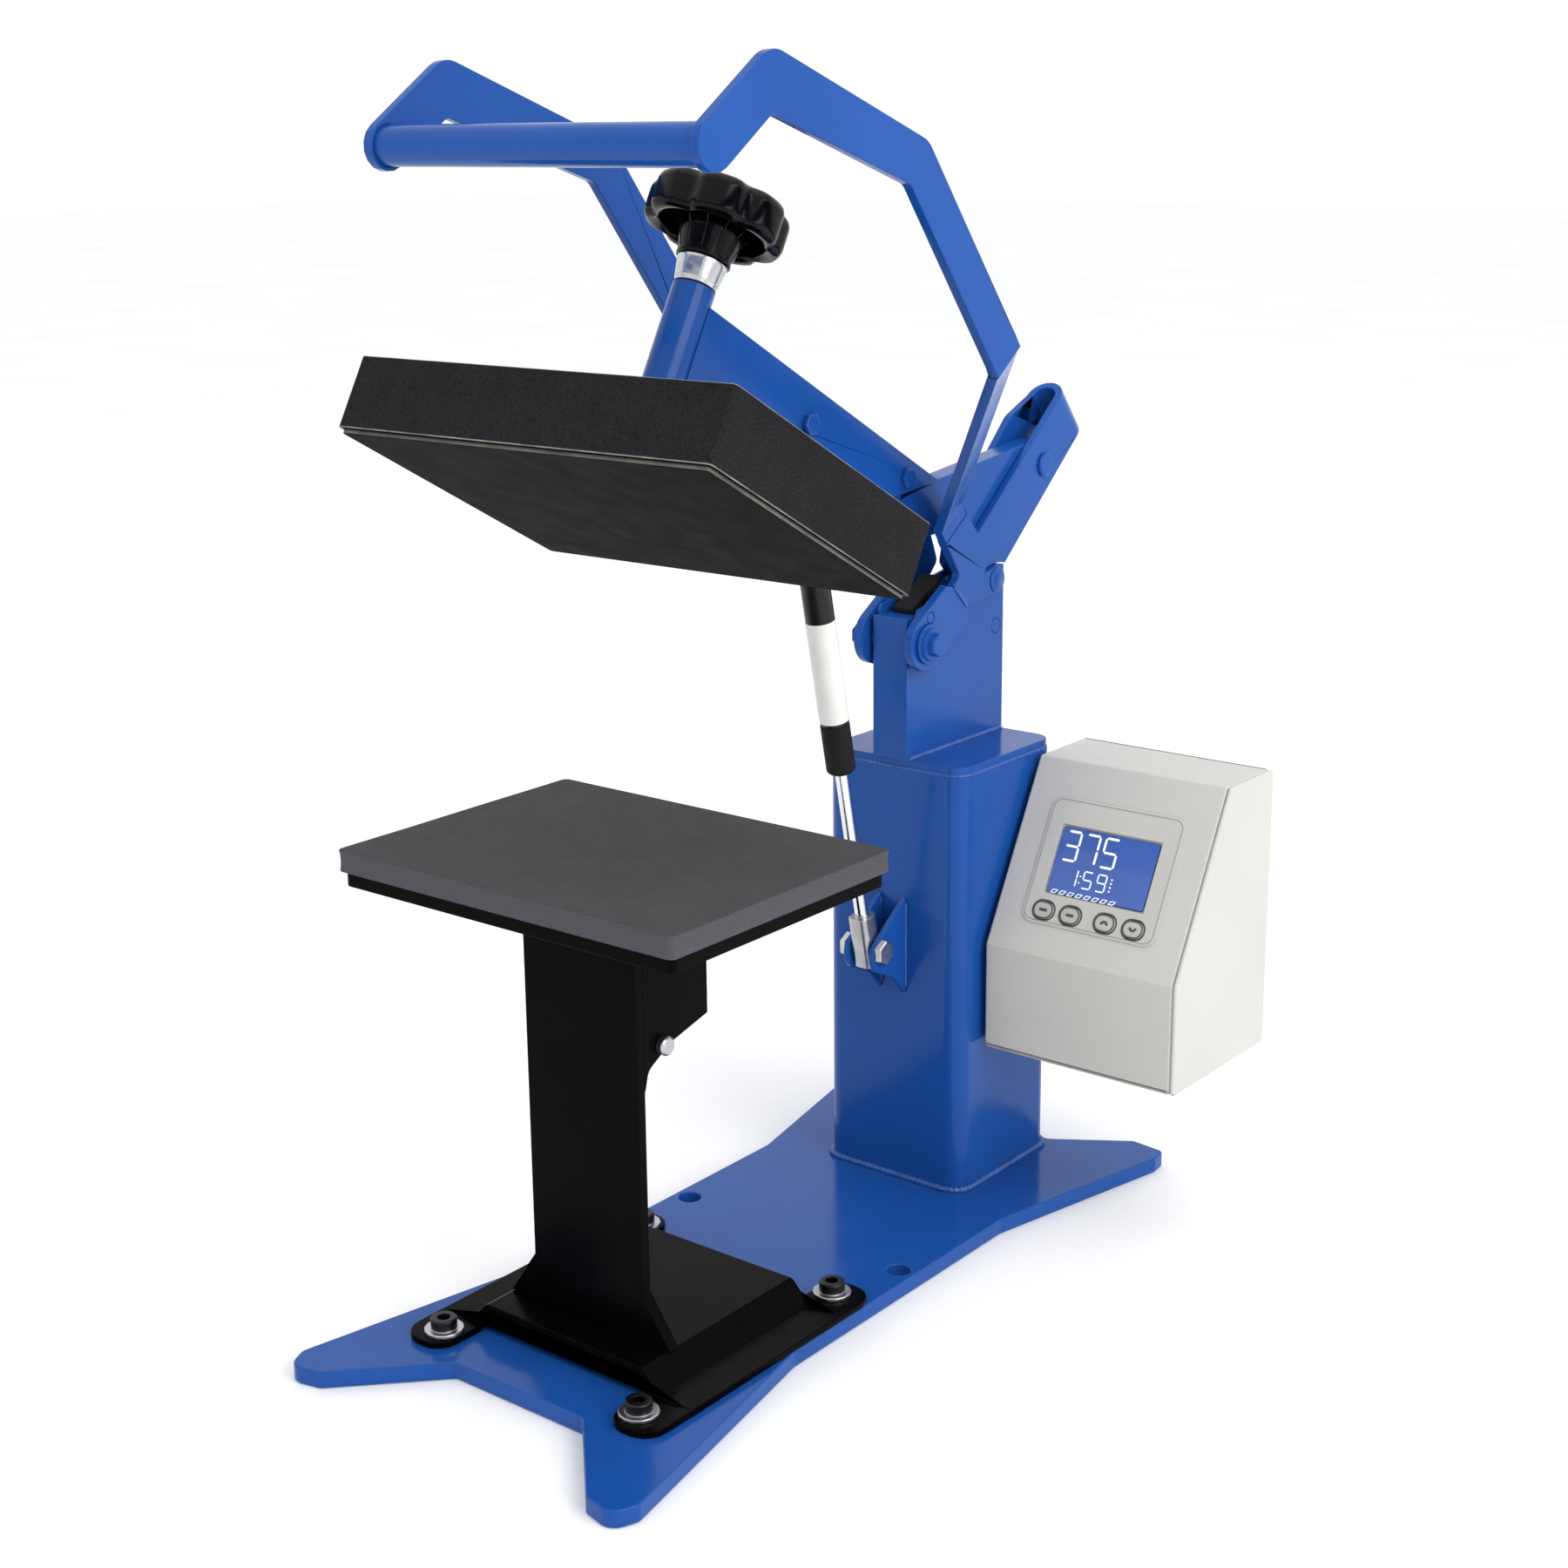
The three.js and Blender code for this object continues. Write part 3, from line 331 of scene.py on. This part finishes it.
# ---------------------------------------------------------------- mesh helpers
def dress(o, mats, width=0.5, segments=2, limit=28.0, edge=False, welded=True):
    """Rounds the sharp edges of a piece by width millimetres and shades it smoothly."""
    o.data.materials.clear()
    for m in mats:
        o.data.materials.append(MATS[m])
    if o.data.attributes.get("custom_normal"):
        o.data.attributes.remove(o.data.attributes["custom_normal"])
    for p in o.data.polygons:
        p.use_smooth = True
    if welded:
        w = o.modifiers.new("weld", "WELD")
        w.merge_threshold = 0.000008
        d = o.modifiers.new("flat_faces", "DECIMATE")
        d.decimate_type = "DISSOLVE"
        d.angle_limit = math.radians(0.4)
    if width:
        b = o.modifiers.new("edges", "BEVEL")
        b.width = width * MM
        b.segments = segments
        b.limit_method = "ANGLE"
        b.angle_limit = math.radians(limit)
        b.use_clamp_overlap = False
        b.miter_outer = "MITER_SHARP"
        if edge:
            b.material = 1
    n = o.modifiers.new("shading", "WEIGHTED_NORMAL")
    n.keep_sharp = False
    n.weight = 60


def made(name, bm, body, mat, width=0.3, stands_for=(), limit=28.0, segments=2, place=None):
    """A new piece from a bmesh in millimetres, put in place, dressed and ridden on its body."""
    bmesh.ops.recalc_face_normals(bm, faces=bm.faces)
    bm.transform((Matrix.Scale(MM, 4) @ place) if place else Matrix.Scale(MM, 4))
    mesh = bpy.data.meshes.new(name)
    bm.to_mesh(mesh)
    bm.free()
    o = bpy.data.objects.new(name, mesh)
    bpy.context.scene.collection.objects.link(o)
    dress(o, [mat], width, segments, limit, welded=False)
    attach(o, body)
    if stands_for:
        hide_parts(*stands_for)
    return o


def loft(bm, rings, closed=True):
    """Faces between rings of the same number of points, with a face over the first and the last."""
    rows = [[bm.verts.new(p) for p in ring] for ring in rings]
    n = len(rows[0])
    for a, b in zip(rows, rows[1:]):
        for i in range(n):
            bm.faces.new((a[i], a[(i + 1) % n], b[(i + 1) % n], b[i]))
    if closed:
        bm.faces.new(list(reversed(rows[0])))
        bm.faces.new(rows[-1])
    return rows


def hoop(bm, outer, inner, z0, z1):
    """A closed band between an outer and an inner loop of the same number of points."""
    n = len(outer)
    rows = [[bm.verts.new((p[0], p[1], z)) for p in loop] for loop, z in
            ((outer, z0), (outer, z1), (inner, z1), (inner, z0))]
    for a, b in zip(rows, rows[1:] + rows[:1]):
        for i in range(n):
            bm.faces.new((a[i], a[(i + 1) % n], b[(i + 1) % n], b[i]))


def turned(bm, profile, seg=64, wobble=None, bore=0):
    """A turned solid round Z from (radius, height) pairs; wobble changes a radius by its step round
    the turn, and a bore radius leaves it open down its middle."""
    if bore:
        profile = [(bore, profile[0][1])] + profile + [(bore, profile[-1][1])]
    rings = []
    for r, h in profile:
        ring = []
        for k in range(seg):
            a, reach = 2 * math.pi * k / seg, r + (wobble(r, k) if wobble else 0)
            ring.append((reach * math.cos(a), reach * math.sin(a), h))
        rings.append(ring)
    rows = loft(bm, rings, closed=not bore)
    if bore:
        for i in range(seg):
            bm.faces.new((rows[-1][i], rows[-1][(i + 1) % seg], rows[0][(i + 1) % seg], rows[0][i]))


def rounded_rect(half_x, half_y, r, steps=6, z=0.0, y=0.0, x=0.0):
    r = max(0.05, min(r, half_x - 0.05, half_y - 0.05))
    out = []
    for qx, qy, start in ((1, 1, 0), (-1, 1, 90), (-1, -1, 180), (1, -1, 270)):
        for k in range(steps + 1):
            a = math.radians(start + 90 * k / steps)
            out.append((x + qx * (half_x - r) + r * math.cos(a), y + qy * (half_y - r) + r * math.sin(a), z))
    return out


def fine(path, step):
    """A path cut into short equal steps."""
    out = []
    for a, b in zip(path, path[1:]):
        a, b = Vector(a), Vector(b)
        n = max(1, round((b - a).length / step))
        out += [a.lerp(b, k / n) for k in range(n)]
    return out + [Vector(path[-1])]


def bead(bm, path, radius, closed=False, seed=0.0):
    """A weld bead: a tube of overlapping ripples along a path."""
    points = fine(path + [path[0]] if closed else path, 0.7)
    if closed:
        points.pop()
    n = len(points)
    rings = []
    for i, p in enumerate(points):
        ahead = points[(i + 1) % n] if closed or i + 1 < n else p
        behind = points[i - 1] if closed or i else p
        along = (ahead - behind).normalized()
        side = along.cross(Vector((0.31, 0.52, 0.79))).normalized()
        over = along.cross(side)
        ripple = 0.88 + 0.12 * math.cos(i * 1.55) + 0.10 * noise.noise(p * 0.35 + Vector((seed, 0, 0)))
        if not closed:
            ripple *= min(1.0, 0.45 + 0.25 * min(i, n - 1 - i))
        rings.append([p + (side * math.cos(a) + over * math.sin(a)) * radius * ripple
                      for a in (2 * math.pi * k / 8 for k in range(8))])
    rows = loft(bm, rings, closed=not closed)
    if closed:
        a, b = rows[-1], rows[0]
        for k in range(8):
            bm.faces.new((a[k], a[(k + 1) % 8], b[(k + 1) % 8], b[k]))


# ---------------------------------------------------------------- fine pieces
def make_pad():
    low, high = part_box("pad")
    size = (high - low) / MM
    middle = (low + high) / 2 / MM
    hx, hy, t = size.x / 2, size.y / 2, size.z
    bottom, corner = low.z / MM, 3.5
    profile = [(hy - 2, 0.0), (30, 0.0), (1.2, 0.0), (0.45, 0.15), (0.12, 0.55), (0.16, 1.2), (0.42, 2.6),
               (0.55, t * 0.5), (0.45, t - 2.8), (0.12, t - 1.3), (0.02, t - 0.75), (0.25, t - 0.42),
               (0.8, t - 0.30), (2.0, t - 0.27)]
    profile += [(d, t - 0.26 * (1 - min(1, d / 40)) ** 2)
                for d in (5, 9, 14, 20, 27, 35, 44, 54, 64, 72, hy - 2)]
    bm = bmesh.new()
    rings = []
    for inset, up in profile:
        ring = rounded_loop(hx - inset, hy - inset, max(corner - inset * 0.8, 0.8))
        wavy = 0.10 if up > t - 0.5 else (0.05 if up > 0.3 else 0.0)
        rings.append([Vector((p.x + middle.x, p.y + middle.y, bottom + up - wavy
                              + wavy * noise.noise(Vector((p.x, p.y, up)) * 0.03))) for p in ring])
    loft(bm, rings)
    pad = made("pad_sponge", bm, "stand", "pad", width=0, stands_for=("pad",))


def rounded_loop(hx, hy, r, steps=5, along=14):
    """A rounded rectangle with points along its sides too."""
    corners = rounded_rect(hx, hy, r, steps)
    out = []
    n = len(corners)
    for i, p in enumerate(corners):
        q = corners[(i + 1) % n]
        if (i + 1) % (steps + 1) == 0:
            out += [Vector(p).lerp(Vector(q), k / along) for k in range(along)]
        else:
            out.append(Vector(p))
    return out


def make_knob():
    seg = 32 * KNOB_LOBES
    under = [(8.0, 122.8), (12.0, 122.8), (12.7, 123.1), (12.8, 124.2), (12.3, 124.6), (14.9, 134.6),
             (15.5, 137), (15.9, 141), (17.0, 147.0), (23.6, 147.0), (24.4, 146.0), (24.9, 138.0),
             (25.4, 136.3)]
    rim = [(5.2, 135.6), (3.2, 135.5), (1.6, 136.2), (0.5, 137.6), (0.0, 139.6), (0.0, 149.4), (0.35, 151.2),
           (1.2, 152.9), (2.6, 154.1), (4.4, 154.8), (6.8, 155.0)]
    top = [(21.6, 155.0), (20.9, 155.3), (20.2, 156.6), (19.0, 157.2), (15.5, 158.2), (12, 158.6), (7, 158.9),
           (1.0, 159.0)]
    profile = under + [(KNOB_RADIUS - inset, h) for inset, h in rim] + top

    def lobe(r, k):
        if r < 25.6:
            return 0.0
        groove = (0.5 - 0.5 * math.cos(KNOB_LOBES * 2 * math.pi * k / seg)) ** 3
        return -KNOB_GROOVE * groove * min(1.0, (r - 25.5) / 4.0)

    bm = bmesh.new()
    turned(bm, profile, seg, lobe)
    made("knob_grip", bm, "knob", "knob", width=0, stands_for=("pressure_knob",),
         place=ON_ARM)
    bm = bmesh.new()
    for k in range(12):
        a = 2 * math.pi * k / 12
        out, side = Vector((math.cos(a), math.sin(a), 0)), Vector((-math.sin(a), math.cos(a), 0)) * 0.35
        loft(bm, [[out * r + side * s + Vector((0, 0, z)) for r, s in ((r0, -1), (r1, -1), (r1, 1), (r0, 1))]
                  for r0, r1, z in ((12.0, 12.9, 126.0), (14.4, 15.1, 134.4), (15.4, 24.3, 146.4))])
    made("knob_ribs", bm, "knob", "knob", width=0, place=ON_ARM)
    bm = bmesh.new()
    turned(bm, [(1.0, 68.5), (5.6, 68.5), (6, 69), (6, 110.3), (9.3, 110.4), (9.7, 110.8), (10.1, 112.6),
                (10.2, 112.7), (11.6, 120.8), (11.7, 121.6), (11.7, 122.3), (11.3, 122.6),
                (1.0, 122.6)], 72)
    made("collar_bright", bm, "knob", "chrome", width=0.15, stands_for=("knob_collar",),
         place=ON_ARM)
    # A black ring under the collar is painted shade: a dark piece set where there is only the shadow gap at
    # the blue tube's rim.
    bm = bmesh.new()
    turned(bm, [(8.0, 110.12), (9.75, 110.12), (9.85, 110.25), (9.85, 110.5), (9.75, 110.62),
                (8.0, 110.62)], 64, bore=6.2)
    made("collar_shade_ring", bm, "knob", "rubber", width=0, place=ON_ARM)


def make_platen_edge():
    """A lighter rim just inside the lower edge of the heated block, a painted sheen standing for light on its
    rounded lower edge, seen as a light line below its black cover.
    """
    bm = bmesh.new()
    hoop(bm, rounded_rect(PLATEN_HALF - 1.9, PLATEN_DEEP - 1.9, 2.1, 5),
         rounded_rect(PLATEN_HALF - 2.6, PLATEN_DEEP - 2.6, 1.4, 5), 0.25, 2.0)
    made("platen_sheen_rim", bm, "platen", "edge", width=0, place=ON_ARM)


def make_link_washers():
    for name, s in (("left", -1), ("right", 1)):
        bm = bmesh.new()
        turned(bm, [(0.5, 13.22), (6.3, 13.22), (6.7, 13.4), (6.7, 13.7), (6.2, 14.0), (3.6, 14.1),
                    (3.4, 14.7), (0.5, 14.8)], 40)
        flip = Matrix.Translation((0, *LINK_ARM)) @ Matrix.Rotation(math.radians(90 * s), 4, "Y")
        made(f"link_washer_{name}", bm, "arm", "blue", width=0, place=flip)


def make_spring():
    neck = SPRING_LENGTH - 30
    bm = bmesh.new()
    turned(bm, [(7.56, 132.4), (7.66, 132.5), (7.68, 133), (7.68, 186.2), (7.66, 186.7), (7.56, 186.8)], 56,
           bore=LABEL_BORE)
    made("spring_label", bm, "spring_barrel", "label", width=0, place=ON_SPRING)
    bm = bmesh.new()
    for h in (neck - 6.5, neck - 9.0):
        turned(bm, [(7.5, h - 0.5), (7.62, h - 0.3), (7.62, h + 0.3), (7.5, h + 0.5)], 48, bore=LABEL_BORE)
    made("spring_crimps", bm, "spring_barrel", "spring", width=0, place=ON_SPRING)


SEGMENTS = {"0": "abcdef", "1": "bc", "2": "abged", "3": "abgcd", "4": "fgbc", "5": "afgcd", "6": "afgedc",
            "7": "abc", "8": "abcdefg", "9": "abcdfg"}


def stroke(bm, a, b, width, z0, z1):
    """A flat bar with pointed ends from a to b."""
    a, b = Vector((*a, 0)), Vector((*b, 0))
    d = (b - a).normalized() * width / 2
    s = Vector((-d.y, d.x, 0))
    loop = [a, a + d + s, b - d + s, b, b - d - s, a + d - s]
    loft(bm, [[(p.x, p.y, z) for p in loop] for z in (z0, z1)])


def digit(bm, sign, x, y, w, h, thick, z0, z1):
    """One seven-segment numeral with its top left corner at x, y."""
    g = thick * 0.18
    ends = {"a": ((0, 0), (w, 0)), "b": ((w, 0), (w, h / 2)), "c": ((w, h / 2), (w, h)),
            "d": ((0, h), (w, h)), "e": ((0, h / 2), (0, h)), "f": ((0, 0), (0, h / 2)),
            "g": ((0, h / 2), (w, h / 2))}
    for s in SEGMENTS[sign]:
        (x0, y0), (x1, y1) = ends[s]
        dx, dy = (g, 0) if y0 == y1 else (0, g)
        stroke(bm, (x + x0 + dx, y - y0 - dy), (x + x1 - dx, y - y1 + dy), thick, z0, z1)


def make_display():
    x0, x1, s0, s1 = LCD
    w, h = x1 - x0, s1 - s0

    def at(u, v):
        return x0 + u * w, -(s0 + v * h)

    z0, z1 = 0.58, 0.66
    bm = bmesh.new()
    for sign, u in (("3", 0.085), ("7", 0.275), ("5", 0.465)):
        digit(bm, sign, *at(u, 0.085), 0.13 * w, 0.41 * h, 1.25, z0, z1)
    digit(bm, "1", *at(0.21, 0.60), 0.07 * w, 0.235 * h, 0.75, z0, z1)
    for sign, u in (("5", 0.345), ("9", 0.485)):
        digit(bm, sign, *at(u, 0.60), 0.085 * w, 0.235 * h, 0.75, z0, z1)
    for v in (0.68, 0.77):
        x, y = at(0.312, v)
        loft(bm, [rounded_rect(0.45, 0.45, 0.4, 3, z, y, x) for z in (z0, z1)])
    for k in range(8):
        x, y = at(0.06 + k * 0.083, 0.955)
        lean = 1.5
        shape = [(x, y - 1.0), (x + 3.1, y - 1.0), (x + 3.1 + lean, y + 1.2), (x + lean, y + 1.2)]
        inner = [(x + 0.75, y - 0.6), (x + 2.75, y - 0.6), (x + 2.35 + lean, y + 0.8),
                 (x + 0.35 + lean, y + 0.8)]
        for a, b, c, d in ((shape[i], shape[(i + 1) % 4], inner[(i + 1) % 4], inner[i]) for i in range(4)):
            loft(bm, [[(px, py, z) for px, py in (a, b, c, d)] for z in (z0, z1)])
    for k in range(4):
        x, y = at(0.62, 0.64 + k * 0.055)
        loft(bm, [rounded_rect(0.5, 0.42, 0.1, 2, z, y, x) for z in (z0, z1)])
    made("display_digits", bm, "stand", "digit", width=0, place=ON_SLOPE)


def ring_band(bm, x, y, hx, hy, r, band, z0, z1):
    """A closed flat band round a rounded rectangle."""
    hoop(bm, rounded_rect(hx, hy, r, 8, 0, y, x),
         rounded_rect(hx - band, hy - band, r - band, 8, 0, y, x), z0, z1)


def make_key_marks():
    for i, x in enumerate(KEYS_X):
        bm = bmesh.new()
        y = -KEYS_S
        ring_band(bm, x, y, 5.85, 4.55, 4.45, 0.75, 1.62, 1.82)
        if i < 2:
            loft(bm, [rounded_rect(2.4, 0.8, 0.7, 4, z, y, x) for z in (1.66, 1.78)])
        else:
            up = 1.0 if i == 2 else -1.0
            for side in (-1, 1):
                stroke(bm, (x, y + up * 1.3), (x + side * 2.2, y - up * 1.0), 1.4, 1.66, 1.78)
        made(f"button_mark_{i + 1}", bm, f"key_{i + 1}", "ink", width=0, place=ON_SLOPE)


def make_overlay_line():
    bm = bmesh.new()
    x, s, half_x, half_s = OVERLAY
    ring_band(bm, x, -s, half_x - 1.1, half_s - 1.1, 5.2, 0.5, 0.86, 0.97)
    made("overlay_outline", bm, "stand", "line", width=0, place=ON_SLOPE)
    bm = bmesh.new()
    for x in KEYS_X:
        ring_band(bm, x, -KEYS_S, 6.95, 5.65, 5.5, 0.55, 0.86, 0.98)
    made("key_outlines", bm, "stand", "ink", width=0, place=ON_SLOPE)


def make_welds():
    bm = bmesh.new()
    path = rounded_rect(COLUMN_HALF + 0.3, COLUMN_HALF + 0.3, COLUMN_R, 6, BASE_T + 0.9, COLUMN_Y)
    bead(bm, path, 2.3, closed=True, seed=1)
    path = rounded_rect(COLUMN_HALF - 0.9, COLUMN_HALF - 0.9, COLUMN_R, 6, COLUMN_TOP - 4.6, COLUMN_Y)
    bead(bm, path, 1.2, closed=True, seed=2)
    z = COLUMN_TOP + 0.5
    y0, y1 = POST_Y
    bead(bm, [(POST_HALF, y0 + 1.5, z), (POST_HALF, y1 - 0.5, z)], 1.9, seed=3)
    bead(bm, [(-POST_HALF, y0 + 1.5, z), (-POST_HALF, y1 - 0.5, z)], 1.9, seed=4)
    for x in (-9.6, -6.6, 6.6, 9.6):
        bead(bm, [(x, 216.0, 119), (x, 216.0, 167)], 1.0, seed=5 + x)
    made("weld_beads_column", bm, "stand", "weld", width=0)
    for name, s in (("left", -1), ("right", 1)):
        bm = bmesh.new()
        x = s * LEVER_OUT
        bead(bm, [(x, 257.5, 321.3), (x, 246.3, 332.5)], 1.3, seed=11)
        made(f"weld_bead_lever_{name}", bm, "handle", "weld", width=0)
    bm = bmesh.new()
    for x in (-33.2, 33.2):
        bead(bm, [(x, -19.4, 146), (x, -19.4, 226)], 1.2, seed=20 + x)
    made("weld_beads_receiver", bm, "stand", "black", width=0)


# ---------------------------------------------------------------- finishes of the CAD nodes
FINISH = {
    "blue": {
        0.9: ["base_plate"],
        0.5: ["column_tube", "column_cap", "post", "arm_channel", "tail_plate", "yoke_strap",
              "spring_ear_left", "spring_ear_right", "handle_bar_left", "handle_bar_right",
              "lever_plate_left", "lever_plate_right", "toggle_link_left", "toggle_link_right"],
        0.4: ["handle_grip", "spindle_tube", "lever_bolt", "arm_bolt", "yoke_pin", "arm_hinge_pin",
              "spring_upper_pin"],
    },
    "black": {0.5: ["pedestal_foot", "pedestal_upright", "platen_receiver", "lower_plate",
                    "controller_bracket"]},
    "coating": {0.5: ["heat_platen"]},
    "rubber": {0.5: ["rubber_stop", "spring_cap"], 0.3: ["cable_gland"]},
    "zinc": {0.25: ["receiver_clamp_screw", "spring_lower_pin", "spindle_foot", "temperature_sensor"]},
    "foot_bolt": {0.25: ["foot_bolt_1", "foot_bolt_2", "foot_bolt_3", "foot_bolt_4"]},
    "spring": {0.3: ["spring_barrel"]},
    "plastic": {1.5: ["controller_case"], 1.0: ["controller_side_cover"]},
    "overlay": {0.25: ["controller_overlay"]},
    "lcd": {0.1: ["display"]},
    "key": {0.4: ["button_1", "button_2", "button_3", "button_4"]},
    "black_plastic": {0.4: ["power_inlet", "switch_housing", "rocker_switch"]},
    "board": {0: ["circuit_board"]},
    "insulation": {0.6: ["insulation_board"]},
    "element": {0.6: ["heating_element"]},
}

lean = Vector((0, -math.sin(SPRING_LEAN), math.cos(SPRING_LEAN)))
MATS["rod"] = split_metal("spring_rod_steel", lean, (Vector((0, *SPRING_LOW)).dot(lean) + 20.2) * MM,
                          (0.80, 0.81, 0.82), 0.12)
MATS["foot_bolt"] = split_metal("foot_bolt_steel", (0, 0, 1), WASHER_TOP * MM, (0.035, 0.035, 0.037), 0.35)
make_camera()
make_studio()
for finish, sizes in FINISH.items():
    for size, names in sizes.items():
        for node in names:
            dress(NODES[node], [finish], size)
dress(NODES["platen_cover"], ["cover", "cover_edge"], 0.45, edge=True)
dress(NODES["spring_rod"], ["rod"], 0.5)
make_pad()
make_knob()
make_spring()
make_display()
make_overlay_line()
make_key_marks()
make_platen_edge()
make_link_washers()
make_welds()
